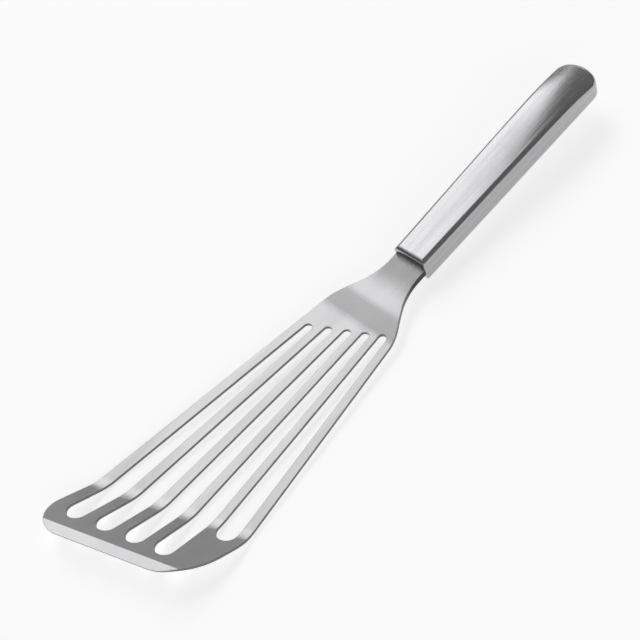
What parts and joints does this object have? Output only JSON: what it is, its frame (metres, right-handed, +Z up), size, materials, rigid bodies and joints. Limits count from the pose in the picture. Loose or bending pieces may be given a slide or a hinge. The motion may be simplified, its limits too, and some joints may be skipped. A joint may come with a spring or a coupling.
{
  "type": "slotted grill spatula",
  "caption": "All-steel slotted spatula with a slanted, turned-up blade, a narrow neck and a hollow rounded-rectangular handle.",
  "frame": {"origin": "on the table, under the middle of the tool's bounding box, with the tool lying on its blade's heel and the front of its handle", "axes": "+X from the butt towards the tip, +Y to the tool's left, +Z up from the table"},
  "size_m": [0.3306, 0.0796, 0.0244],
  "materials": {
    "blade_steel": "satin, brushed along the tool",
    "handle_steel": "semi-bright, finely brushed along the handle",
    "weld_steel": "ground flush and polished"
  },
  "bodies": {
    "root": {"blade": "blade_steel", "handle_upper_shell": "handle_steel", "handle_lower_shell": "handle_steel", "handle_seam_weld": "weld_steel", "neck_weld_top": "weld_steel", "neck_weld_bottom": "weld_steel"}
  },
  "joints": []
}
